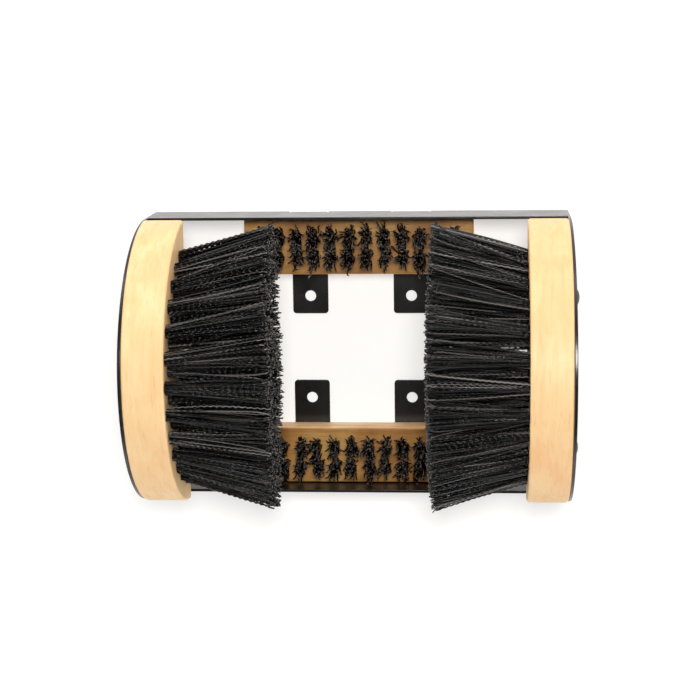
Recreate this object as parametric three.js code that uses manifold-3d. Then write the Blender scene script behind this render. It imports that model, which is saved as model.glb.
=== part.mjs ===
// Boot scraper. A welded sheet-steel frame, open at the bottom, stands on the ground.
// Two half-round boards on its side plates hold long bristles that point at each other,
// and two blocks on its tabs hold short bristles that point up.
// Millimetres, +Z up, X from side plate to side plate, Y from front to back.
// The origin is on the ground, under the middle of the frame.

import * as THREE from 'three';
import { mergeVertices } from 'three/addons/utils/BufferGeometryUtils.js';
import loadManifold from 'manifold-3d';

const wasm = await loadManifold();
wasm.setup();

// Frame: two arched side plates, joined by two low long walls.
const frameLength = 300;
const frameDepth = 200;
const sheetThickness = 2;
const wallHeight = 42;
const archSpringHeight = 45;
const archTopHeight = 160;

// Tabs, folded inwards from the foot of each long wall.
const tabWidth = 26;
const tabCentreX = 37;
const tabEndY = 25;
const tabCornerRadius = 2.5;
const tabBendInnerRadius = 1.5;
const bendReliefWidth = 1.5;
const bendReliefHeight = 6;
const mountingHoleDiameter = 8;
const mountingHoleInset = 13;

// Half-round boards, level with the top of the side plates and slightly fuller at the flanks.
const boardThickness = 28.5;
const boardChordHeight = 62;
const boardSpringHeight = 50;
const boardEase = 1.5;

// Floor blocks, lying on the tabs along the long walls.
const blockLength = 165;
const blockWidth = 41;
const blockHeight = 20;
const blockEase = 1.5;
const blockCornerRadius = 3;
const blockWallClearance = 0.5;

// Bristle carriers: the slice of wood that the tufts are set in.
const carrierThickness = 3;
const strandRootDepth = 1.5;

// Standing bristles on the half-round boards. All are equally long, and the tufts fan out sideways.
const sideBristleLength = 68;
const sideTuftRows = 7;
const sideTuftRowSpacing = 12.5;
const sideTuftPitch = 19;
const sideTuftSideInset = 13.5;
const sideTuftTopInset = 5.5;
const outerRowRise = 22;
const innerRowRise = 12;
const sideTuftStrands = 3;
const sideTuftRootRadius = 2.6;
const sideTuftTipRadius = 5.6;
const sideStrandRootRadius = 1.2;
const sideStrandTipRadius = 0.9;
const sideFanWidthShare = 1.24;
const sideFanHeightShare = 0.97;
const sideFanCentreRise = 36;

// Floor bristles on the blocks.
const floorBristleLength = 18;
const floorTuftColumns = 12;
const floorTuftRows = 2;
const floorTuftEndInset = 13.5;
const floorTuftRowSpacing = 14;
const floorTuftStrands = 3;
const floorTuftRootRadius = 1.6;
const floorTuftTipWidth = 2.8;
const floorTuftTipReach = 6.5;
const floorStrandRootRadius = 0.9;
const floorStrandTipRadius = 0.7;

// Screws that hold the boards, two in each side plate, with low domed heads.
const sideScrewSpacing = 103;
const sideScrewRise = 38;
const sideScrewHeadDiameter = 13;
const sideScrewHeadHeight = 3.6;
const sideScrewShankDiameter = 4.5;
const sideScrewLength = 22;
const sideScrewTipLength = 5;

// Countersunk screws that hold the blocks, one through each tab from below.
const floorScrewHeadDiameter = 7.6;
const floorScrewShankDiameter = 4;
const floorScrewLength = 16;
const floorScrewTipLength = 4;
const floorScrewHeadSink = 0.2;

// Clearance round the screws, overrun of the cutting tools, and counts of facets.
const screwClearance = 0.3;
const cutOverrun = 5;
const archSegments = 44;
const holeSegments = 20;
const screwSegments = 16;
const domeSegments = 4;
const bendSegments = 5;
const easeSegments = 2;
const strandSides = 3;
const strandTurn = 2.4;

// Places that several pieces share.
const halfLength = frameLength / 2;
const halfDepth = frameDepth / 2;
const archRise = archTopHeight - archSpringHeight;
const boardRise = archTopHeight - boardSpringHeight;
const plateInnerX = halfLength - sheetThickness;
const wallInnerY = halfDepth - sheetThickness;
const boardFaceX = plateInnerX - boardThickness;
const boardSplitX = boardFaceX + carrierThickness;
const blockOuterY = wallInnerY - blockWallClearance;
const blockCentreY = blockOuterY - blockWidth / 2;
const blockFaceZ = sheetThickness + blockHeight;
const blockSplitZ = blockFaceZ - carrierThickness;
const mountingHoleY = tabEndY + mountingHoleInset;
const sideScrewZ = boardChordHeight + sideScrewRise;
const sideFanCentreZ = boardChordHeight + sideFanCentreRise;

const blackSteel = new THREE.MeshStandardMaterial({ color: 0x1c1917, roughness: 0.45, metalness: 0.6 });
const paleWood = new THREE.MeshStandardMaterial({ color: 0xf2dcaa, roughness: 0.7, metalness: 0 });
const goldenWood = new THREE.MeshStandardMaterial({ color: 0xc9924c, roughness: 0.7, metalness: 0 });
const blackBristle = new THREE.MeshStandardMaterial({ color: 0x121214, roughness: 0.5, metalness: 0 });
const blackScrew = new THREE.MeshStandardMaterial({ color: 0x2a2a28, roughness: 0.35, metalness: 0.7 });

// From a closed geometry to a solid that can be joined and cut, and back.
function toSolid(geometry) {
  const bare = geometry.clone();
  bare.deleteAttribute('normal');
  bare.deleteAttribute('uv');
  const welded = mergeVertices(bare);
  const mesh = new wasm.Mesh({
    numProp: 3,
    vertProperties: new Float32Array(welded.attributes.position.array),
    triVerts: new Uint32Array(welded.index.array),
  });
  return new wasm.Manifold(mesh);
}

function toGeometry(solid) {
  const mesh = solid.getMesh();
  const geometry = new THREE.BufferGeometry();
  geometry.setAttribute('position', new THREE.BufferAttribute(mesh.vertProperties, 3));
  geometry.setIndex(new THREE.BufferAttribute(mesh.triVerts, 1));
  geometry.computeVertexNormals();
  return geometry;
}

// Extrusions along the three axes, from one coordinate to another.
function extrude(shape, depth, segments, ease) {
  return new THREE.ExtrudeGeometry(shape, {
    depth: depth - 2 * ease,
    curveSegments: segments,
    bevelEnabled: ease > 0,
    bevelThickness: ease,
    bevelSize: ease,
    bevelOffset: -ease,
    bevelSegments: easeSegments,
  }).translate(0, 0, ease);
}

function extrudeAlongX(shapeInYZ, fromX, toX, segments, ease = 0) {
  const turn = new THREE.Matrix4().makeBasis(
    new THREE.Vector3(0, 1, 0),
    new THREE.Vector3(0, 0, 1),
    new THREE.Vector3(1, 0, 0),
  );
  return extrude(shapeInYZ, toX - fromX, segments, ease).applyMatrix4(turn).translate(fromX, 0, 0);
}

function extrudeAlongY(shapeInXZ, fromY, toY, segments) {
  const turn = new THREE.Matrix4().makeBasis(
    new THREE.Vector3(1, 0, 0),
    new THREE.Vector3(0, 0, 1),
    new THREE.Vector3(0, -1, 0),
  );
  return extrude(shapeInXZ, toY - fromY, segments, 0).applyMatrix4(turn).translate(0, toY, 0);
}

function extrudeAlongZ(shapeInXY, fromZ, toZ, segments, ease = 0) {
  return extrude(shapeInXY, toZ - fromZ, segments, ease).translate(0, 0, fromZ);
}

function boxBetween(low, high) {
  const size = new THREE.Vector3().subVectors(high, low);
  const centre = new THREE.Vector3().addVectors(low, high).divideScalar(2);
  return new THREE.BoxGeometry(size.x, size.y, size.z).translate(centre.x, centre.y, centre.z);
}

function roundedRectangle(centreX, centreY, width, height, radius) {
  const right = centreX + width / 2;
  const left = centreX - width / 2;
  const top = centreY + height / 2;
  const bottom = centreY - height / 2;
  const shape = new THREE.Shape();
  shape.moveTo(left + radius, bottom);
  shape.absarc(right - radius, bottom + radius, radius, -Math.PI / 2, 0);
  shape.absarc(right - radius, top - radius, radius, 0, Math.PI / 2);
  shape.absarc(left + radius, top - radius, radius, Math.PI / 2, Math.PI);
  shape.absarc(left + radius, bottom + radius, radius, Math.PI, 1.5 * Math.PI);
  return shape;
}

// The outline of a side plate or a board: upright sides up to the spring height, then half an ellipse.
function archOutline(bottomZ, springZ, rise) {
  const overSpring = Math.max(0, bottomZ - springZ);
  const startAngle = Math.asin(overSpring / rise);
  const bottomY = halfDepth * Math.cos(startAngle);
  const shape = new THREE.Shape();
  shape.moveTo(-bottomY, bottomZ);
  shape.lineTo(bottomY, bottomZ);
  shape.absellipse(0, springZ, halfDepth, rise, startAngle, Math.PI - startAngle);
  return shape;
}

// Round tools and screws are revolved about Z, then turned where they go.
function revolve(profile, segments) {
  const points = profile.map(([radius, height]) => new THREE.Vector2(radius, height));
  return new THREE.LatheGeometry(points, segments).rotateX(Math.PI / 2);
}

function cylinderAlongZ(radius, fromZ, toZ) {
  const middle = (fromZ + toZ) / 2;
  return new THREE.CylinderGeometry(radius, radius, toZ - fromZ, holeSegments)
    .rotateX(Math.PI / 2)
    .translate(0, 0, middle);
}

// Screws, with the underside of the dome or the flush face of the countersunk head at zero
// and the point towards minus Z.
function domedScrewGeometry() {
  const shank = sideScrewShankDiameter / 2;
  const head = sideScrewHeadDiameter / 2;
  const profile = [
    [0, -sideScrewLength],
    [shank, sideScrewTipLength - sideScrewLength],
    [shank, 0],
  ];
  for (let step = 0; step <= domeSegments; step++) {
    const angle = (step / domeSegments) * (Math.PI / 2);
    const radius = step === domeSegments ? 0 : head * Math.cos(angle);
    profile.push([radius, sideScrewHeadHeight * Math.sin(angle)]);
  }
  return revolve(profile, screwSegments);
}

function countersunkScrewGeometry() {
  const shank = floorScrewShankDiameter / 2;
  const head = floorScrewHeadDiameter / 2;
  const profile = [
    [0, -floorScrewLength],
    [shank, floorScrewTipLength - floorScrewLength],
    [shank, -sheetThickness],
    [head, -floorScrewHeadSink],
    [head, 0],
    [0, 0],
  ];
  return revolve(profile, screwSegments);
}

// Signs of the four tabs, and of the four screws in the side plates.
const corners = [
  { name: 'front_left', x: -1, y: -1 },
  { name: 'front_right', x: 1, y: -1 },
  { name: 'back_left', x: -1, y: 1 },
  { name: 'back_right', x: 1, y: 1 },
];

// Where a screw of a side plate enters the plate, and the same for a tab.
function sideScrewPlace(corner) {
  return new THREE.Vector3(corner.x * halfLength, corner.y * (sideScrewSpacing / 2), sideScrewZ);
}

function floorScrewPlace(corner) {
  return new THREE.Vector3(corner.x * tabCentreX, corner.y * blockCentreY, 0);
}

function placeSideScrew(geometry, corner) {
  const place = sideScrewPlace(corner);
  return geometry.rotateY(corner.x * (Math.PI / 2)).translate(place.x, place.y, place.z);
}

function placeFloorScrew(geometry, corner) {
  const place = floorScrewPlace(corner);
  return geometry.rotateX(Math.PI).translate(place.x, place.y, place.z);
}

// Holes that let a screw through the sheet and into the wood behind it.
function sideScrewHole(corner) {
  const radius = sideScrewShankDiameter / 2 + screwClearance;
  const hole = cylinderAlongZ(radius, -sideScrewLength - screwClearance, cutOverrun);
  return toSolid(placeSideScrew(hole, corner));
}

function floorScrewHole(corner) {
  const radius = floorScrewShankDiameter / 2 + screwClearance;
  const hole = cylinderAlongZ(radius, -floorScrewLength - screwClearance, cutOverrun);
  return toSolid(placeFloorScrew(hole, corner));
}

function countersink(corner) {
  const shank = floorScrewShankDiameter / 2 + screwClearance;
  const head = floorScrewHeadDiameter / 2 + screwClearance;
  const slope = (head - shank) / (sheetThickness - floorScrewHeadSink);
  const profile = [
    [0, -sheetThickness - cutOverrun],
    [shank, -sheetThickness - cutOverrun],
    [shank, -sheetThickness],
    [head + slope * (floorScrewHeadSink + cutOverrun), cutOverrun],
    [0, cutOverrun],
  ];
  return toSolid(placeFloorScrew(revolve(profile, holeSegments), corner));
}

// Steel frame
function sidePlate(side) {
  const inner = side * plateInnerX;
  const outer = side * halfLength;
  const outline = archOutline(0, archSpringHeight, archRise);
  return toSolid(extrudeAlongX(outline, Math.min(inner, outer), Math.max(inner, outer), archSegments));
}

// A long wall, with a notch in its foot where each tab is folded out of it.
function longWall(side) {
  const notchHalfWidth = tabWidth / 2 + bendReliefWidth;
  const shape = new THREE.Shape();
  shape.moveTo(-plateInnerX, 0);
  for (const sign of [-1, 1]) {
    const centre = sign * tabCentreX;
    shape.lineTo(centre - notchHalfWidth, 0);
    shape.lineTo(centre - notchHalfWidth, bendReliefHeight);
    shape.lineTo(centre + notchHalfWidth, bendReliefHeight);
    shape.lineTo(centre + notchHalfWidth, 0);
  }
  shape.lineTo(plateInnerX, 0);
  shape.lineTo(plateInnerX, wallHeight);
  shape.lineTo(-plateInnerX, wallHeight);
  const inner = side * wallInnerY;
  const outer = side * halfDepth;
  return toSolid(extrudeAlongY(shape, Math.min(inner, outer), Math.max(inner, outer), bendSegments));
}

// A tab with its bend: a folded strip, cut to a tab's outline with round corners at the free end.
function tab(corner) {
  const outerRadius = tabBendInnerRadius + sheetThickness;
  const bendY = halfDepth - outerRadius;
  const strip = new THREE.Shape();
  strip.moveTo(tabEndY, sheetThickness);
  strip.lineTo(tabEndY, 0);
  strip.absarc(bendY, outerRadius, outerRadius, -Math.PI / 2, 0);
  strip.lineTo(halfDepth, bendReliefHeight);
  strip.lineTo(wallInnerY, bendReliefHeight);
  strip.absarc(bendY, outerRadius, tabBendInnerRadius, 0, -Math.PI / 2, true);
  const centre = corner.x * tabCentreX;
  const folded = toSolid(extrudeAlongX(strip, centre - tabWidth / 2, centre + tabWidth / 2, bendSegments));
  const outlineDepth = halfDepth + cutOverrun - tabEndY;
  const outlineCentre = tabEndY + outlineDepth / 2;
  const outline = roundedRectangle(centre, outlineCentre, tabWidth, outlineDepth, tabCornerRadius);
  const cutter = toSolid(extrudeAlongZ(outline, -cutOverrun, wallHeight + cutOverrun, bendSegments));
  const holeTool = cylinderAlongZ(mountingHoleDiameter / 2, -cutOverrun, cutOverrun);
  const hole = toSolid(holeTool.translate(centre, mountingHoleY, 0));
  const back = folded.intersect(cutter).subtract(hole);
  return corner.y > 0 ? back : back.rotate([0, 0, 180]);
}

function steelFrameGeometry() {
  let frame = sidePlate(-1).add(sidePlate(1)).add(longWall(-1)).add(longWall(1));
  for (const corner of corners) {
    frame = frame.add(tab(corner));
  }
  for (const corner of corners) {
    frame = frame.subtract(sideScrewHole(corner)).subtract(countersink(corner));
  }
  return toGeometry(frame);
}

// Half-round boards. The board and the carrier of its bristles are one piece of wood, sawn apart.
function wholeBoard(side) {
  const face = side * boardFaceX;
  const back = side * plateInnerX;
  const outline = archOutline(boardChordHeight, boardSpringHeight, boardRise);
  return toSolid(
    extrudeAlongX(outline, Math.min(face, back), Math.max(face, back), archSegments, boardEase),
  );
}

function boardGeometry(side) {
  let board = wholeBoard(side).subtract(boardCarrierZone(side));
  for (const corner of corners.filter((each) => each.x === side)) {
    board = board.subtract(sideScrewHole(corner));
  }
  return toGeometry(board);
}

function boardCarrierZone(side) {
  const near = side * (boardFaceX - cutOverrun);
  const far = side * boardSplitX;
  const low = new THREE.Vector3(Math.min(near, far), -halfDepth - cutOverrun, 0);
  const high = new THREE.Vector3(Math.max(near, far), halfDepth + cutOverrun, archTopHeight + cutOverrun);
  return toSolid(boxBetween(low, high));
}

// Floor blocks, split the same way into a block and the carrier of its bristles.
function wholeBlock(side) {
  const outline = roundedRectangle(0, side * blockCentreY, blockLength, blockWidth, blockCornerRadius);
  return toSolid(extrudeAlongZ(outline, sheetThickness, blockFaceZ, bendSegments, blockEase));
}

function blockCarrierZone() {
  const low = new THREE.Vector3(-halfLength, -halfDepth, blockSplitZ);
  const high = new THREE.Vector3(halfLength, halfDepth, blockFaceZ + cutOverrun);
  return toSolid(boxBetween(low, high));
}

function blockGeometry(side) {
  let block = wholeBlock(side).subtract(blockCarrierZone());
  for (const corner of corners.filter((each) => each.y === side)) {
    block = block.subtract(floorScrewHole(corner));
  }
  return toGeometry(block);
}

// Bristles. A strand is a thin tapered prism from a root to a tip, with its corners turned by
// an angle of its own. Its first corners are the root's, the others are the tip's.
function strand(root, tip, rootRadius, tipRadius, turn) {
  const along = new THREE.Vector3().subVectors(tip, root).normalize();
  const aside = new THREE.Vector3(0, 1, 0).cross(along).normalize();
  const upward = new THREE.Vector3().crossVectors(along, aside);
  const vertices = [];
  for (const [centre, radius] of [[root, rootRadius], [tip, tipRadius]]) {
    for (let side = 0; side < strandSides; side++) {
      const angle = turn + (side / strandSides) * 2 * Math.PI;
      const vertex = centre.clone();
      vertex.addScaledVector(aside, radius * Math.cos(angle));
      vertex.addScaledVector(upward, radius * Math.sin(angle));
      vertices.push(vertex.x, vertex.y, vertex.z);
    }
  }
  const triangles = [];
  for (let side = 0; side < strandSides; side++) {
    const next = (side + 1) % strandSides;
    triangles.push(side, next, strandSides + next);
    triangles.push(side, strandSides + next, strandSides + side);
  }
  for (let side = 1; side < strandSides - 1; side++) {
    triangles.push(0, side + 1, side);
    triangles.push(strandSides, strandSides + side, strandSides + side + 1);
  }
  const geometry = new THREE.BufferGeometry();
  geometry.setAttribute('position', new THREE.Float32BufferAttribute(vertices, 3));
  geometry.setIndex(triangles);
  return geometry;
}

// Tufts on a half-round board, in rows inside one another that follow the arch, as (y, z).
function sideTuftPlaces() {
  const places = [];
  for (let row = 0; row < sideTuftRows; row++) {
    const halfWidth = halfDepth - sideTuftSideInset - row * sideTuftRowSpacing;
    const rise = archRise - sideTuftTopInset - row * sideTuftRowSpacing;
    const rowRise = row === 0 ? outerRowRise : innerRowRise;
    const lowAngle = Math.asin((boardChordHeight + rowRise - archSpringHeight) / rise);
    const curve = new THREE.EllipseCurve(
      0,
      archSpringHeight,
      halfWidth,
      rise,
      lowAngle,
      Math.PI - lowAngle,
    );
    const gaps = Math.max(1, Math.round(curve.getLength() / sideTuftPitch));
    for (let gap = 0; gap <= gaps; gap++) {
      places.push(curve.getPointAt(gap / gaps));
    }
  }
  return places;
}

function sideBristlesGeometry(side) {
  let bristles = wholeBoard(side).intersect(boardCarrierZone(side));
  let count = 0;
  const rootX = side * (boardFaceX + strandRootDepth);
  for (const place of sideTuftPlaces()) {
    const tipY = place.x * sideFanWidthShare;
    const tipZ = sideFanCentreZ + (place.y - sideFanCentreZ) * sideFanHeightShare;
    const outward = place.x < 0 ? -1 : 1;
    for (let index = 0; index < sideTuftStrands; index++) {
      const angle = (index / sideTuftStrands) * 2 * Math.PI;
      const across = outward * Math.cos(angle);
      const up = Math.sin(angle);
      const root = new THREE.Vector3(
        rootX,
        place.x + across * sideTuftRootRadius,
        place.y + up * sideTuftRootRadius,
      );
      const tip = new THREE.Vector3(
        rootX,
        tipY + across * sideTuftTipRadius,
        tipZ + up * sideTuftTipRadius,
      );
      const aside = root.distanceTo(tip);
      tip.x = side * (boardFaceX - Math.sqrt(sideBristleLength ** 2 - aside ** 2));
      const turn = strandTurn * count;
      bristles = bristles.add(toSolid(strand(root, tip, sideStrandRootRadius, sideStrandTipRadius, turn)));
      count += 1;
    }
  }
  return toGeometry(bristles);
}

function floorBristlesGeometry(side) {
  let bristles = wholeBlock(side).intersect(blockCarrierZone());
  let count = 0;
  const rootZ = blockFaceZ - strandRootDepth;
  const tipZ = blockFaceZ + floorBristleLength;
  const pitch = (blockLength - 2 * floorTuftEndInset) / (floorTuftColumns - 1);
  for (let row = 0; row < floorTuftRows; row++) {
    const y = side * blockCentreY + (row - (floorTuftRows - 1) / 2) * floorTuftRowSpacing;
    for (let column = 0; column < floorTuftColumns; column++) {
      const x = (column - (floorTuftColumns - 1) / 2) * pitch;
      for (let index = 0; index < floorTuftStrands; index++) {
        const angle = ((index + 0.5) / floorTuftStrands) * 2 * Math.PI;
        const along = Math.cos(angle);
        const across = Math.sin(angle);
        const root = new THREE.Vector3(
          x + along * floorTuftRootRadius,
          y + across * floorTuftRootRadius,
          rootZ,
        );
        const tip = new THREE.Vector3(
          x + along * floorTuftTipWidth,
          y + across * floorTuftTipReach,
          tipZ,
        );
        const turn = strandTurn * count;
        bristles = bristles.add(toSolid(strand(root, tip, floorStrandRootRadius, floorStrandTipRadius, turn)));
        count += 1;
      }
    }
  }
  return toGeometry(bristles);
}

// Assembly
const bootScraper = new THREE.Group();

function addPiece(parent, name, geometry, material) {
  const mesh = new THREE.Mesh(geometry, material);
  mesh.name = name;
  parent.add(mesh);
}

addPiece(bootScraper, 'steel_frame', steelFrameGeometry(), blackSteel);

for (const [name, side] of [['left', -1], ['right', 1]]) {
  const brush = new THREE.Group();
  addPiece(brush, `${name}_side_board`, boardGeometry(side), paleWood);
  addPiece(brush, `${name}_side_bristles`, sideBristlesGeometry(side), blackBristle);
  bootScraper.add(brush);
}

for (const [name, side] of [['front', -1], ['back', 1]]) {
  const brush = new THREE.Group();
  addPiece(brush, `${name}_floor_block`, blockGeometry(side), goldenWood);
  addPiece(brush, `${name}_floor_bristles`, floorBristlesGeometry(side), blackBristle);
  bootScraper.add(brush);
}

for (const corner of corners) {
  const sideScrew = placeSideScrew(domedScrewGeometry(), corner);
  addPiece(bootScraper, `${corner.name}_side_screw`, sideScrew, blackScrew);
  const floorScrew = placeFloorScrew(countersunkScrewGeometry(), corner);
  addPiece(bootScraper, `${corner.name}_floor_screw`, floorScrew, blackScrew);
}

export default bootScraper;
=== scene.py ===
# Boot scraper: the finished look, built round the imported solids. Metres, +Z up, +Y to the back wall.

import math

import bmesh
import bpy
import numpy as np
from mathutils import Matrix, Vector


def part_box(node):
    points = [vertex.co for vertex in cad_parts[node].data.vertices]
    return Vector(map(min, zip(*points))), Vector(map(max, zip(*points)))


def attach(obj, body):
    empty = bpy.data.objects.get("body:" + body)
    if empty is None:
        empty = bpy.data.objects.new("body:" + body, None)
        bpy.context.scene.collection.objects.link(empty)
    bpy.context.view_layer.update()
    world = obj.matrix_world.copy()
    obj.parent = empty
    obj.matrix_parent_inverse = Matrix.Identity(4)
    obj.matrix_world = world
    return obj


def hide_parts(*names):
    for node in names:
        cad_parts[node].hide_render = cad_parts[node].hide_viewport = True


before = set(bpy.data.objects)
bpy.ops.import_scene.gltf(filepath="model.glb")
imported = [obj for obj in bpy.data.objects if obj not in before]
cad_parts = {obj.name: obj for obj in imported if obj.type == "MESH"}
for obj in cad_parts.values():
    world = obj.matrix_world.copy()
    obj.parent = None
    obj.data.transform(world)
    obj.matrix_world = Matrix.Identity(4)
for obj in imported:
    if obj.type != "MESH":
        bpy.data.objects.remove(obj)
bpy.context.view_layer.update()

# Places read from the solids, with the sizes that their boxes don't give. A carrier is the thin slice
# of wood that a bristle node starts with.
_, FRAME_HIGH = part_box("steel_frame")
BOARD_LOW, BOARD_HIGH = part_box("right_side_board")
_, SIDE_TUFTS_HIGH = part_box("right_side_bristles")
BLOCK_LOW, BLOCK_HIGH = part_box("back_floor_block")
_, FLOOR_TUFTS_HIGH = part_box("back_floor_bristles")
HALF_DEPTH = FRAME_HIGH.y
ARCH_TOP = FRAME_HIGH.z
ARCH_SPRING = 0.045
ARCH_RISE = ARCH_TOP - ARCH_SPRING
CARRIER_THICKNESS = 0.003
BOARD_BACK_X = BOARD_HIGH.x
BOARD_FACE_X = BOARD_LOW.x - CARRIER_THICKNESS
BOARD_CHORD_Z = BOARD_LOW.z
BOARD_SPRING = 0.050
BOARD_BACK_REACH = 0.0016
BLOCK_LENGTH = BLOCK_HIGH.x - BLOCK_LOW.x
BLOCK_WIDTH = BLOCK_HIGH.y - BLOCK_LOW.y
BLOCK_TOP_Z = BLOCK_HIGH.z + CARRIER_THICKNESS
BLOCK_CENTRE_Y = (BLOCK_LOW.y + BLOCK_HIGH.y) / 2

# Camera, fitted to the photograph
PHOTO_SIDE = 700
FOCAL_PIXELS = 1771.7
SENSOR_WIDTH = 36
CAMERA_PLACE = Vector((0.08747, 0.23257, 1.28222))
CAMERA_YAW = math.radians(-4.291)
CAMERA_PITCH = math.radians(10.373)
CAMERA_ROLL = math.radians(0.760)
CAMERA_REACH = 50

# Edges and facets
PAINT_EDGE_RADIUS = 0.00025
PAINT_EDGE_SEGMENTS = 2
PAINT_EDGE_ANGLE = math.radians(35)
BOARD_EDGE_RADIUS = 0.002
BOARD_EDGE_SEGMENTS = 4
BLOCK_EDGE_RADIUS = 0.0015
BLOCK_EDGE_SEGMENTS = 3
WOOD_EDGE_ANGLE = math.radians(40)
ARCH_STEPS = 128
WELD_REACH = 0.00002
FLAT_ANGLE = math.radians(0.5)
LARGE_FACE_WEIGHT = 100

# Side tufts: rows that follow the arch, one inside the other. The outer rows are the fullest.
SIDE_ROWS = 7
SIDE_ROW_SPACING = 0.0125
SIDE_PITCH = 0.019
SIDE_INSET = 0.0175
TOP_INSET = 0.0055
OUTER_ROW_RISE = 0.022
INNER_ROW_RISE = 0.012
SIDE_ROOT_RADIUS = 0.0043
SIDE_TIP_RADIUS = 0.0094
FULL_ROWS = 2
FULL_FILAMENTS = 34
INNER_FILAMENTS = 26
FILAMENT_LENGTH = 0.0680
FAN_WIDTH_SHARE = 1.24
FAN_HEIGHT_SHARE = 0.97
FAN_CENTRE_RISE = 0.036
FAN_CENTRE_Z = BOARD_CHORD_Z + FAN_CENTRE_RISE
TUFT_LEAN = 0.0020
TIP_SCATTER = 0.0024
TIP_RAGGEDNESS = 0.0012
TIP_MOST_SHORT = 0.0035
TIP_MOST_LONG = 0.0010
TIP_SPLAY = 0.0010
TIP_SPLAY_START_SHARE = 0.85
TIP_SPLAY_LENGTHWISE_SHARE = 0.3
TIP_END_INSET = 0.0062
TIP_TOP_INSET = 0.0018
TIP_LIMIT_Y = SIDE_TUFTS_HIGH.y - TIP_END_INSET
TIP_LIMIT_Z = ARCH_TOP - TIP_TOP_INSET
SIDE_BOW = 0.0008

# Floor tufts: two rows on each block, fanned across it
FLOOR_COLUMNS = 12
FLOOR_ROWS = 2
FLOOR_END_INSET = 0.0135
FLOOR_ROW_SPACING = 0.014
FLOOR_ROOT_RADIUS = 0.0032
FLOOR_TIP_WIDTH = 0.0042
FLOOR_TIP_REACH = 0.0100
FLOOR_TUFT_LEAN = 0.0010
FLOOR_SCATTER = 0.0015
FLOOR_FILAMENTS = 48
FLOOR_TIP_Z = FLOOR_TUFTS_HIGH.z
FLOOR_RAGGEDNESS = 0.0026
FLOOR_BOW = 0.0006

# Filaments. A strand share is drawn for each one and picks its tone, and its tip has a share of its own.
# The highest shares pick grey to pale tones, a painted highlight that stands for lit strands.
FILAMENT_RADIUS = 0.00060
FILAMENT_RADIUS_SHARES = (0.88, 1.1)
FILAMENT_SIDES = 3
CRIMP_LENGTH = 0.0040
CRIMP_LENGTH_SHARES = (0.95, 1.06)
CRIMP_DEPTH = 0.00030
CRIMP_DEPTH_SHARES = (0.7, 1.25)
CRIMP_STEPS = 5
CRIMP_DISORDER = 0.9
FEWEST_STEPS = 8
ROOT_DEPTH = 0.0015
ROOT_DISORDER_SHARE = 0.3
GOLDEN_ANGLE = math.pi * (3 - math.sqrt(5))
STRAND_SHARE_TOP = 0.9
STRAND_SHARE_TIP = 1.0
RANDOM_SEED = 20

# Colours, linear, and the shares of a pattern at which they lie
WHITE = (1.0, 1.0, 1.0)
PAINT_TONES = ((0.0055, 0.0042, 0.0038), (0.0095, 0.0075, 0.0066))
PAINT_TONE_SHARES = (0.35, 0.65)
SCREW_TONES = ((0.03, 0.03, 0.028), (0.055, 0.055, 0.05))
SCREW_TONE_SHARES = (0.35, 0.7)
PALE_TONES = ((0.78, 0.555, 0.30), (0.77, 0.51, 0.26), (0.765, 0.47, 0.235))
PALE_STREAK = (0.92, 0.87, 0.80)
PALE_FLECK = (0.60, 0.38, 0.19)
# The block tops take darker tones than their sides: painted shade from the bristles over them.
SHADED_BLOCK_TOP_TONES = ((0.54, 0.31, 0.100), (0.43, 0.215, 0.058), (0.31, 0.135, 0.033))
BLOCK_SIDE_TONES = ((0.86, 0.60, 0.33), (0.82, 0.53, 0.27), (0.78, 0.46, 0.21))
GOLDEN_STREAK = (0.72, 0.62, 0.52)
GOLDEN_FLECK = (0.16, 0.07, 0.025)
WOOD_TONE_SHARES = (0.34, 0.50, 0.66)
STREAK_SHARES = (0.32, 0.56)
STREAK_DEPTH_SHARE = 0.8
# Near-black tones for most filaments; the grey to pale tones near the top share are a painted highlight on
# a few strands.
BRISTLE_AND_HIGHLIGHT_TONES = (
    (0.0008, 0.0006, 0.0007),
    (0.0016, 0.0014, 0.0015),
    (0.020, 0.0175, 0.0170),
    (0.175, 0.158, 0.150),
    (0.036, 0.031, 0.028),
)
BRISTLE_TONE_SHARES = (0.0, 0.62, 0.80, STRAND_SHARE_TOP, STRAND_SHARE_TIP)

# Gloss and fine relief
PAINT_SPECULAR = 0.45
PAINT_RELIEF = 0.00015
WOOD_SPECULAR = 0.28
WOOD_RELIEF = 0.0003
BRISTLE_SPECULAR = 0.35
SCREW_METALLIC = 0.6
SCREW_RELIEF = 0.0001
PALE_ROUGHNESS = 0.5
GOLDEN_ROUGHNESS = 0.4
STREAK_ROUGHER = 0.08
STREAK_SMOOTHER = 0.06

# How fast the growth layers change along X, Y and Z: fine across them, slow along them
BOARD_LAYERS = (0.5, 0.05, 0.12)
BLOCK_LAYERS = (0.05, 0.9, 0.6)

# Stage. The ground glows a little, and the sky fades with height and is brighter towards the back.
GROUND_REACH = 6.0
GROUND_DROP = 0.0003
GROUND_COLOUR = (0.56, 0.555, 0.545)
GROUND_ROUGHNESS = 0.6
GROUND_SPECULAR = 0.2
GROUND_GLOW_COLOUR = (1.0, 0.99, 0.98)
GROUND_GLOW = 0.53
KEY_PLACE = Vector((0.14, 0.48, 1.62))
KEY_AIM = Vector((0, 0, 0.05))
KEY_SIZE = 0.42
KEY_WATTS = 19.0
KEY_COLOUR = (1.0, 0.985, 0.955)
LOW_SKY_COLOUR = (1.0, 0.99, 0.975)
HIGH_SKY_COLOUR = (0.10, 0.10, 0.10)
SKY_FADE_HEIGHTS = (0.15, 0.65)
FRONT_SKY = 2.15
BACK_SKY = 3.3
SKY_TURN_DEPTHS = (0.1, 0.9)

random = np.random.default_rng(RANDOM_SEED)


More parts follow.
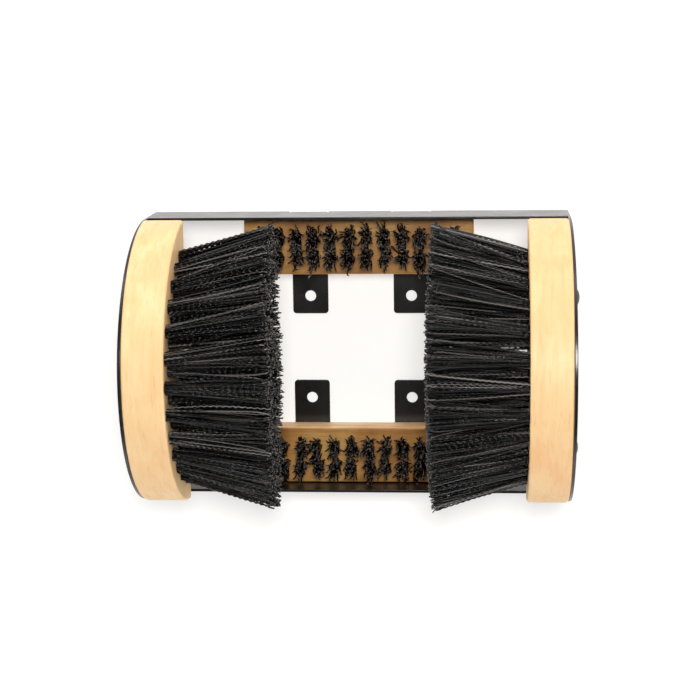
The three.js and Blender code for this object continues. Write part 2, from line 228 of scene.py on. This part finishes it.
# Node helpers
def new_material(name):
    material = bpy.data.materials.new(name)
    material.use_nodes = True
    tree = material.node_tree
    tree.nodes.clear()
    output = tree.nodes.new("ShaderNodeOutputMaterial")
    shader = tree.nodes.new("ShaderNodeBsdfPrincipled")
    tree.links.new(shader.outputs["BSDF"], output.inputs["Surface"])
    return material, tree, shader


def object_place(tree, scale=(1, 1, 1)):
    coordinates = tree.nodes.new("ShaderNodeTexCoord")
    mapping = tree.nodes.new("ShaderNodeMapping")
    mapping.inputs["Scale"].default_value = scale
    tree.links.new(coordinates.outputs["Object"], mapping.inputs["Vector"])
    return mapping.outputs["Vector"]


def noise(tree, place, scale, detail, roughness, distortion=0.0):
    node = tree.nodes.new("ShaderNodeTexNoise")
    node.inputs["Scale"].default_value = scale
    node.inputs["Detail"].default_value = detail
    node.inputs["Roughness"].default_value = roughness
    node.inputs["Distortion"].default_value = distortion
    tree.links.new(place, node.inputs["Vector"])
    return node.outputs["Fac"]


def ramp(tree, value, shares, colours):
    """Colours at rising shares of a value. A new element's first place doesn't matter."""
    node = tree.nodes.new("ShaderNodeValToRGB")
    while len(node.color_ramp.elements) < len(shares):
        node.color_ramp.elements.new(0.5)
    for element, share, colour in zip(node.color_ramp.elements, shares, colours):
        element.position = share
        element.color = (*colour, 1.0)
    tree.links.new(value, node.inputs["Fac"])
    return node.outputs["Color"]


def spread(tree, value, low, high, new_low=0.0, new_high=1.0):
    node = tree.nodes.new("ShaderNodeMapRange")
    node.inputs["From Min"].default_value = low
    node.inputs["From Max"].default_value = high
    node.inputs["To Min"].default_value = new_low
    node.inputs["To Max"].default_value = new_high
    tree.links.new(value, node.inputs["Value"])
    return node.outputs["Result"]


def blend_colours(tree, share, first, second, mode="MIX"):
    node = tree.nodes.new("ShaderNodeMix")
    node.data_type = "RGBA"
    node.blend_type = mode
    for socket_name, value in (("Factor", share), ("A", first), ("B", second)):
        socket = node.inputs[socket_name]
        if isinstance(value, bpy.types.NodeSocket):
            tree.links.new(value, socket)
        elif isinstance(value, tuple):
            socket.default_value = (*value, 1.0)
        else:
            socket.default_value = value
    return node.outputs["Result"]


def bump(tree, shader, height, strength, distance):
    node = tree.nodes.new("ShaderNodeBump")
    node.inputs["Strength"].default_value = strength
    node.inputs["Distance"].default_value = distance
    tree.links.new(height, node.inputs["Height"])
    tree.links.new(node.outputs["Normal"], shader.inputs["Normal"])


def upward_share(tree):
    """1 on a face that looks up, 0 on a side."""
    coordinates = tree.nodes.new("ShaderNodeTexCoord")
    parts = tree.nodes.new("ShaderNodeSeparateXYZ")
    tree.links.new(coordinates.outputs["Normal"], parts.inputs["Vector"])
    return spread(tree, parts.outputs["Z"], low=0.45, high=0.85)


# Materials
def black_paint_material():
    material, tree, shader = new_material("black_paint")
    place = object_place(tree)
    patches = noise(tree, place, scale=45, detail=4.0, roughness=0.6)
    tone = ramp(tree, patches, PAINT_TONE_SHARES, PAINT_TONES)
    roughness = spread(tree, patches, low=0.3, high=0.7, new_low=0.20, new_high=0.28)
    tree.links.new(tone, shader.inputs["Base Color"])
    tree.links.new(roughness, shader.inputs["Roughness"])
    shader.inputs["Specular IOR Level"].default_value = PAINT_SPECULAR
    peel = noise(tree, place, scale=620, detail=2.0, roughness=0.4)
    bump(tree, shader, peel, strength=0.18, distance=PAINT_RELIEF)
    return material


def wood_material(name, layer_scales, tones, side_tones, streak, fleck, roughness):
    material, tree, shader = new_material(name)
    layer_place = object_place(tree, layer_scales)
    layers = noise(tree, layer_place, scale=420, detail=3.0, roughness=0.62, distortion=0.6)
    broad = noise(tree, object_place(tree), scale=26, detail=3.0, roughness=0.55, distortion=0.4)
    # Faces that look up take the top tones and sides the side tones; on the block wood the darker tops are
    # painted shade.
    side_tone = ramp(tree, broad, WOOD_TONE_SHARES, side_tones)
    top_tone = ramp(tree, broad, WOOD_TONE_SHARES, tones)
    colour = blend_colours(tree, upward_share(tree), side_tone, top_tone)
    layer_tone = ramp(tree, layers, STREAK_SHARES, (streak, WHITE))
    colour = blend_colours(tree, STREAK_DEPTH_SHARE, colour, layer_tone, "MULTIPLY")
    pores = noise(tree, layer_place, scale=1500, detail=2.0, roughness=0.6)
    pore_mask = spread(tree, pores, low=0.60, high=0.72, new_low=0.0, new_high=0.55)
    colour = blend_colours(tree, pore_mask, colour, fleck)
    tree.links.new(colour, shader.inputs["Base Color"])
    gloss = spread(tree, layers, 0.3, 0.7, roughness + STREAK_ROUGHER, roughness - STREAK_SMOOTHER)
    tree.links.new(gloss, shader.inputs["Roughness"])
    shader.inputs["Specular IOR Level"].default_value = WOOD_SPECULAR
    bump(tree, shader, layers, strength=0.25, distance=WOOD_RELIEF)
    return material


def bristle_material():
    material, tree, shader = new_material("black_bristle")
    strand = tree.nodes.new("ShaderNodeAttribute")
    strand.attribute_name = "strand_share"
    # Filaments with high strand shares get pale tones: a painted highlight.
    tone = ramp(tree, strand.outputs["Fac"], BRISTLE_TONE_SHARES, BRISTLE_AND_HIGHLIGHT_TONES)
    roughness = spread(tree, strand.outputs["Fac"], low=0.0, high=1.0, new_low=0.20, new_high=0.12)
    tree.links.new(tone, shader.inputs["Base Color"])
    tree.links.new(roughness, shader.inputs["Roughness"])
    shader.inputs["Specular IOR Level"].default_value = BRISTLE_SPECULAR
    return material


def black_screw_material():
    material, tree, shader = new_material("black_screw")
    patches = noise(tree, object_place(tree), scale=700, detail=3.0, roughness=0.6)
    tone = ramp(tree, patches, SCREW_TONE_SHARES, SCREW_TONES)
    roughness = spread(tree, patches, low=0.3, high=0.7, new_low=0.28, new_high=0.42)
    tree.links.new(tone, shader.inputs["Base Color"])
    tree.links.new(roughness, shader.inputs["Roughness"])
    shader.inputs["Metallic"].default_value = SCREW_METALLIC
    bump(tree, shader, patches, strength=0.1, distance=SCREW_RELIEF)
    return material


# Object helpers
def add_object(name, data):
    added = bpy.data.objects.new(name, data)
    bpy.context.scene.collection.objects.link(added)
    return added


def finish_piece(piece, material, slot, *nodes):
    piece.data.materials.append(material)
    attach(piece, "root")
    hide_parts(*nodes)


def dress_solid(solid, material):
    solid.data.materials.clear()
    solid.data.materials.append(material)
    for polygon in solid.data.polygons:
        polygon.material_index = 0


def smooth_faces(piece):
    for polygon in piece.data.polygons:
        polygon.use_smooth = True


def bevel_edges(piece, name, radius, segments, angle):
    bevel = piece.modifiers.new(name, "BEVEL")
    bevel.width = radius
    bevel.segments = segments
    bevel.limit_method = "ANGLE"
    bevel.angle_limit = angle
    bevel.use_clamp_overlap = False
    bevel.harden_normals = True


# Steel frame: the solid itself, with softened edges
def dress_frame(material):
    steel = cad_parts["steel_frame"]
    weld = steel.modifiers.new("joined_corners", "WELD")
    weld.merge_threshold = WELD_REACH
    flat = steel.modifiers.new("whole_faces", "DECIMATE")
    flat.decimate_type = "DISSOLVE"
    flat.angle_limit = FLAT_ANGLE
    bevel_edges(steel, "soft_paint_edges", PAINT_EDGE_RADIUS, PAINT_EDGE_SEGMENTS, PAINT_EDGE_ANGLE)
    flat_faces = steel.modifiers.new("flat_faces", "WEIGHTED_NORMAL")
    flat_faces.mode = "FACE_AREA"
    flat_faces.weight = LARGE_FACE_WEIGHT
    dress_solid(steel, material)
    smooth_faces(steel)


# Half-round boards
def board_outline():
    """Rim points (y, z), from the back end over the top to the front end."""
    rise = ARCH_TOP - BOARD_SPRING
    start = math.asin((BOARD_CHORD_Z - BOARD_SPRING) / rise)
    points = []
    for step in range(ARCH_STEPS + 1):
        angle = start + (math.pi - 2 * start) * step / ARCH_STEPS
        half_width = HALF_DEPTH + (BOARD_BACK_REACH if step < ARCH_STEPS / 2 else 0)
        points.append((half_width * math.cos(angle), BOARD_SPRING + rise * math.sin(angle)))
    return points


def half_round_board(name, side):
    outline = board_outline()
    count = len(outline)
    vertices = [(side * BOARD_FACE_X, y, z) for y, z in outline]
    vertices += [(side * BOARD_BACK_X, y, z) for y, z in outline]
    near = list(range(count))
    far = list(range(count, 2 * count))
    if side > 0:
        near, far = near[::-1], far[::-1]
    faces = [near[::-1], far]
    for index in range(count):
        after = (index + 1) % count
        faces.append((near[index], near[after], far[after], far[index]))
    mesh = bpy.data.meshes.new(name)
    mesh.from_pydata(vertices, [], faces)
    mesh.validate()
    piece = add_object(name, mesh)
    bevel_edges(piece, "rounded_edges", BOARD_EDGE_RADIUS, BOARD_EDGE_SEGMENTS, WOOD_EDGE_ANGLE)
    smooth_faces(piece)
    return piece


# Floor blocks
def floor_block(name, side):
    height = BLOCK_TOP_Z - BLOCK_LOW.z
    form = bmesh.new()
    bmesh.ops.create_cube(form, size=1.0)
    bmesh.ops.scale(form, vec=(BLOCK_LENGTH, BLOCK_WIDTH, height), verts=form.verts)
    middle = Vector((0.0, side * BLOCK_CENTRE_Y, BLOCK_LOW.z + height / 2))
    bmesh.ops.translate(form, vec=middle, verts=form.verts)
    mesh = bpy.data.meshes.new(name)
    form.to_mesh(mesh)
    form.free()
    piece = add_object(name, mesh)
    bevel_edges(piece, "rounded_edges", BLOCK_EDGE_RADIUS, BLOCK_EDGE_SEGMENTS, WOOD_EDGE_ANGLE)
    smooth_faces(piece)
    return piece


# Filaments: thin three-sided tubes along crimped lines, many in one mesh
def filament_lines(roots, tips, bows, splays, longest):
    """Centre lines of one tuft as an array (filament, step, 3). Its crimps are partly in step."""
    count = len(roots)
    span = tips - roots
    lengths = np.linalg.norm(span, axis=1)
    steps = max(FEWEST_STEPS, round(longest / CRIMP_LENGTH * CRIMP_STEPS))
    share = np.linspace(0, 1, steps + 1)[None, :, None]
    along = span / lengths[:, None]
    helper = random.normal(size=3) + random.normal(scale=CRIMP_DISORDER, size=(count, 3))
    aside = np.cross(along, helper)
    aside /= np.linalg.norm(aside, axis=1)[:, None]
    lines = roots[:, None, :] + span[:, None, :] * share
    lines = lines + bows[:, None, :] * np.sin(math.pi * share)
    late = np.clip((share - TIP_SPLAY_START_SHARE) / (1 - TIP_SPLAY_START_SHARE), 0, 1)
    lines = lines + splays[:, None, :] * late**2
    phase = random.normal(scale=CRIMP_DISORDER, size=(count, 1, 1)) + random.uniform(0, 2 * math.pi)
    period = CRIMP_LENGTH * random.uniform(*CRIMP_LENGTH_SHARES, size=(count, 1, 1))
    depth = CRIMP_DEPTH * random.uniform(*CRIMP_DEPTH_SHARES, size=(count, 1, 1))
    wave = np.sin(phase + 2 * math.pi * share * lengths[:, None, None] / period)
    return lines + aside[:, None, :] * wave * depth, along, aside


def tube_vertices(lines, along, aside):
    """Rings of corners round the lines, as many as a filament has sides."""
    upward = np.cross(along, aside)
    turns = np.arange(FILAMENT_SIDES) * 2 * math.pi / FILAMENT_SIDES
    angles = random.uniform(0, 2 * math.pi, size=(len(lines), 1)) + turns
    radius = FILAMENT_RADIUS * random.uniform(*FILAMENT_RADIUS_SHARES, size=(len(lines), 1))
    offsets = (
        aside[:, None, :] * (np.cos(angles) * radius)[:, :, None]
        + upward[:, None, :] * (np.sin(angles) * radius)[:, :, None]
    )
    return (lines[:, :, None, :] + offsets[:, None, :, :]).reshape(-1, 3)


def tube_faces(count, rings):
    """The corners of all faces in one row, and how many each face has."""
    first = (np.arange(count) * rings * FILAMENT_SIDES)[:, None, None]
    ring = (np.arange(rings - 1) * FILAMENT_SIDES)[None, :, None]
    side = np.arange(FILAMENT_SIDES)
    low = first + ring + side
    low_after = first + ring + (side + 1) % FILAMENT_SIDES
    quads = np.stack([low, low_after, low_after + FILAMENT_SIDES, low + FILAMENT_SIDES], axis=-1)
    quads = quads.reshape(-1, quads.shape[-1])
    start = first[:, :, 0]
    end = start + (rings - 1) * FILAMENT_SIDES
    caps = np.concatenate([start + side[::-1], end + side])
    corners = np.concatenate([quads.ravel(), caps.ravel()])
    totals = np.concatenate([np.full(len(faces), faces.shape[1]) for faces in (quads, caps)])
    return corners, totals


def filament_piece(name, batches):
    """One mesh of several tufts, with each filament's strand share on its corners."""
    parts = [filament_lines(*batch) for batch in batches]
    lines, along, aside = [np.concatenate(each) for each in zip(*parts)]
    count, rings = lines.shape[:2]
    vertices = tube_vertices(lines, along, aside)
    corners, totals = tube_faces(count, rings)
    starts = np.concatenate([[0], np.cumsum(totals)[:-1]])
    mesh = bpy.data.meshes.new(name)
    mesh.vertices.add(len(vertices))
    mesh.vertices.foreach_set("co", vertices.astype(np.float32).ravel())
    mesh.loops.add(len(corners))
    mesh.loops.foreach_set("vertex_index", corners.astype(np.int32))
    mesh.polygons.add(len(totals))
    mesh.polygons.foreach_set("loop_start", starts.astype(np.int32))
    mesh.polygons.foreach_set("use_smooth", np.ones(len(totals), dtype=bool))
    mesh.update(calc_edges=True)
    strand = mesh.attributes.new("strand_share", "FLOAT", "POINT")
    shares = np.repeat(random.uniform(0, STRAND_SHARE_TOP, size=count)[:, None], rings, axis=1)
    shares[:, -1] = STRAND_SHARE_TIP
    strand.data.foreach_set("value", np.repeat(shares.ravel(), FILAMENT_SIDES).astype(np.float32))
    return add_object(name, mesh)


def disc_points(count, radius):
    """Evenly spread points in a disc, with a little disorder."""
    index = np.arange(count) + 0.5
    angle = index * GOLDEN_ANGLE + random.uniform(0, 2 * math.pi)
    reach = radius * np.sqrt(index / count)
    points = np.stack([np.cos(angle), np.sin(angle)], axis=1) * reach[:, None]
    return points + random.normal(scale=radius / math.sqrt(count) * ROOT_DISORDER_SHARE, size=points.shape)


# Side tufts
def side_row_places(row):
    """Tuft places (y, z) of one row, evenly spaced along its half ellipse from back to front."""
    half_width = HALF_DEPTH - SIDE_INSET - row * SIDE_ROW_SPACING
    rise = ARCH_RISE - TOP_INSET - row * SIDE_ROW_SPACING
    lowest = BOARD_CHORD_Z + (INNER_ROW_RISE if row else OUTER_ROW_RISE)
    low_angle = math.asin((lowest - ARCH_SPRING) / rise)
    angles = np.linspace(low_angle, math.pi - low_angle, ARCH_STEPS)
    curve = np.stack([half_width * np.cos(angles), ARCH_SPRING + rise * np.sin(angles)], axis=1)
    travelled = np.concatenate([[0], np.cumsum(np.linalg.norm(np.diff(curve, axis=0), axis=1))])
    marks = np.linspace(0, travelled[-1], 1 + max(1, round(travelled[-1] / SIDE_PITCH)))
    return np.stack([np.interp(marks, travelled, curve[:, axis]) for axis in (0, 1)], axis=1)


def side_tufts(name, side, places, filaments):
    """Tufts at places (y, z) on a board, fanned out to tips that stay within the tip limits."""
    batches = []
    fan = SIDE_TIP_RADIUS / SIDE_ROOT_RADIUS
    wanted_room = SIDE_TIP_RADIUS + 2 * TIP_SCATTER
    for y, z in places:
        near = disc_points(filaments, SIDE_ROOT_RADIUS)
        spreads = near * fan + random.normal(scale=TIP_SCATTER, size=near.shape)
        middle = np.array([y * FAN_WIDTH_SHARE, FAN_CENTRE_Z + (z - FAN_CENTRE_Z) * FAN_HEIGHT_SHARE])
        middle += random.normal(scale=TUFT_LEAN, size=2)
        room = np.array([TIP_LIMIT_Y - abs(middle[0]), TIP_LIMIT_Z - middle[1]])
        outward = spreads * (math.copysign(1, y), 1) > 0
        spreads = np.where(outward, spreads * np.minimum(1, room / wanted_room), spreads)
        ends = np.minimum(middle + spreads, (TIP_LIMIT_Y, TIP_LIMIT_Z))
        ends[:, 0] = np.maximum(ends[:, 0], -TIP_LIMIT_Y)
        starts = near + (y, z)
        aside = np.linalg.norm(ends - starts, axis=1)
        ragged = random.normal(scale=TIP_RAGGEDNESS, size=filaments)
        ragged = np.clip(ragged, -TIP_MOST_SHORT, TIP_MOST_LONG)
        reach = np.sqrt((FILAMENT_LENGTH + ragged) ** 2 - aside**2)
        root_x = np.full(filaments, side * (BOARD_FACE_X + ROOT_DEPTH))
        roots = np.column_stack([root_x, starts])
        tips = np.column_stack([side * (BOARD_FACE_X - reach), ends])
        bows = random.normal(scale=SIDE_BOW, size=(filaments, 3)) * (0, 1, 1)
        splays = random.normal(scale=TIP_SPLAY, size=(filaments, 3)) * (TIP_SPLAY_LENGTHWISE_SHARE, 1, 1)
        batches.append((roots, tips, bows, splays, FILAMENT_LENGTH))
    return filament_piece(name, batches)


# Floor tufts
def floor_tufts(name, side):
    batches = []
    pitch = (BLOCK_LENGTH - 2 * FLOOR_END_INSET) / (FLOOR_COLUMNS - 1)
    fan = (FLOOR_TIP_WIDTH / FLOOR_ROOT_RADIUS, FLOOR_TIP_REACH / FLOOR_ROOT_RADIUS)
    longest = FLOOR_TIP_Z - BLOCK_TOP_Z
    for row in range(FLOOR_ROWS):
        y = side * BLOCK_CENTRE_Y + (row - (FLOOR_ROWS - 1) / 2) * FLOOR_ROW_SPACING
        for column in range(FLOOR_COLUMNS):
            x = (column - (FLOOR_COLUMNS - 1) / 2) * pitch
            near = disc_points(FLOOR_FILAMENTS, FLOOR_ROOT_RADIUS)
            far = near * fan + random.normal(scale=FLOOR_SCATTER, size=near.shape)
            far += random.normal(scale=FLOOR_TUFT_LEAN, size=2)
            root_z = np.full(FLOOR_FILAMENTS, BLOCK_TOP_Z - ROOT_DEPTH)
            short = np.abs(random.normal(scale=FLOOR_RAGGEDNESS, size=FLOOR_FILAMENTS))
            roots = np.column_stack([near + (x, y), root_z])
            tips = np.column_stack([far + (x, y), FLOOR_TIP_Z - TIP_SPLAY - short])
            bows = random.normal(scale=FLOOR_BOW, size=(FLOOR_FILAMENTS, 3)) * (1, 1, 0)
            splays = random.normal(scale=TIP_SPLAY, size=(FLOOR_FILAMENTS, 3)) * (1, 1, 0)
            batches.append((roots, tips, bows, splays, longest))
    return filament_piece(name, batches)


# Whole brushes
def add_side_brush(side, side_name, wood, bristle):
    bristles_node = f"{side_name}_side_bristles"
    board = half_round_board(f"{side_name}_board_wood", side)
    finish_piece(board, wood, "pale_wood", f"{side_name}_side_board", bristles_node)
    for row in range(SIDE_ROWS):
        places = side_row_places(row)
        half_count = (len(places) + 1) // 2
        filaments = FULL_FILAMENTS if row < FULL_ROWS else INNER_FILAMENTS
        for part, part_places in (("back", places[:half_count]), ("front", places[half_count:])):
            tufts = side_tufts(f"{side_name}_bristles_row_{row + 1}_{part}", side, part_places, filaments)
            finish_piece(tufts, bristle, "black_bristle", bristles_node)


def add_floor_brush(side, side_name, wood, bristle):
    bristles_node = f"{side_name}_floor_bristles"
    block = floor_block(f"{side_name}_block_wood", side)
    finish_piece(block, wood, "golden_wood", f"{side_name}_floor_block", bristles_node)
    tufts = floor_tufts(f"{side_name}_block_bristles", side)
    finish_piece(tufts, bristle, "black_bristle", bristles_node)


# Stage
def add_ground():
    bpy.ops.mesh.primitive_plane_add(size=2 * GROUND_REACH, location=(0, 0, -GROUND_DROP))
    floor = bpy.context.active_object
    floor.name = "pale_floor"
    material, _, shader = new_material("pale_floor")
    shader.inputs["Base Color"].default_value = (*GROUND_COLOUR, 1)
    shader.inputs["Roughness"].default_value = GROUND_ROUGHNESS
    shader.inputs["Specular IOR Level"].default_value = GROUND_SPECULAR
    shader.inputs["Emission Color"].default_value = (*GROUND_GLOW_COLOUR, 1)
    shader.inputs["Emission Strength"].default_value = GROUND_GLOW
    floor.data.materials.append(material)


def add_key_light():
    light = bpy.data.lights.new("key_light", "AREA")
    light.shape = "DISK"
    light.size = KEY_SIZE
    light.energy = KEY_WATTS
    light.color = KEY_COLOUR
    lamp = add_object("key_light", light)
    lamp.location = KEY_PLACE
    lamp.rotation_mode = "QUATERNION"
    lamp.rotation_quaternion = (KEY_PLACE - KEY_AIM).to_track_quat("Z", "Y")
    lamp.visible_camera = False


def add_sky():
    world = bpy.data.worlds.new("studio")
    bpy.context.scene.world = world
    world.use_nodes = True
    tree = world.node_tree
    background = tree.nodes["Background"]
    direction = tree.nodes.new("ShaderNodeTexCoord")
    split = tree.nodes.new("ShaderNodeSeparateXYZ")
    tree.links.new(direction.outputs["Generated"], split.inputs["Vector"])
    height_share = spread(tree, split.outputs["Z"], *SKY_FADE_HEIGHTS)
    colour = ramp(tree, height_share, (0.0, 1.0), (LOW_SKY_COLOUR, HIGH_SKY_COLOUR))
    strength = spread(tree, split.outputs["Y"], *SKY_TURN_DEPTHS, FRONT_SKY, BACK_SKY)
    tree.links.new(colour, background.inputs["Color"])
    tree.links.new(strength, background.inputs["Strength"])


def add_camera():
    camera = bpy.data.cameras.new("camera")
    camera.sensor_width = SENSOR_WIDTH
    camera.lens = FOCAL_PIXELS / PHOTO_SIDE * SENSOR_WIDTH
    camera.clip_end = CAMERA_REACH
    stand = add_object("camera", camera)
    yaw = Matrix.Rotation(-CAMERA_YAW, 4, "Y")
    pitch = Matrix.Rotation(-CAMERA_PITCH, 4, "X")
    roll = Matrix.Rotation(-CAMERA_ROLL, 4, "Z")
    stand.matrix_world = Matrix.Translation(CAMERA_PLACE) @ (yaw @ pitch @ roll)
    bpy.context.scene.camera = stand
    bpy.context.scene.view_settings.view_transform = "Standard"


# The object
black_paint = black_paint_material()
pale_wood = wood_material(
    "pale_wood", BOARD_LAYERS, PALE_TONES, PALE_TONES, PALE_STREAK, PALE_FLECK, PALE_ROUGHNESS
)
golden_wood = wood_material(
    "golden_wood", BLOCK_LAYERS, SHADED_BLOCK_TOP_TONES, BLOCK_SIDE_TONES, GOLDEN_STREAK, GOLDEN_FLECK, GOLDEN_ROUGHNESS
)
black_bristle = bristle_material()
black_screw = black_screw_material()

dress_frame(black_paint)
for brush_side, brush_name in ((-1, "left"), (1, "right")):
    add_side_brush(brush_side, brush_name, pale_wood, black_bristle)
for brush_side, brush_name in ((-1, "front"), (1, "back")):
    add_floor_brush(brush_side, brush_name, golden_wood, black_bristle)
for node_name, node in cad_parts.items():
    if node_name.endswith("_screw"):
        dress_solid(node, black_screw)

add_ground()
add_key_light()
add_sky()
add_camera()
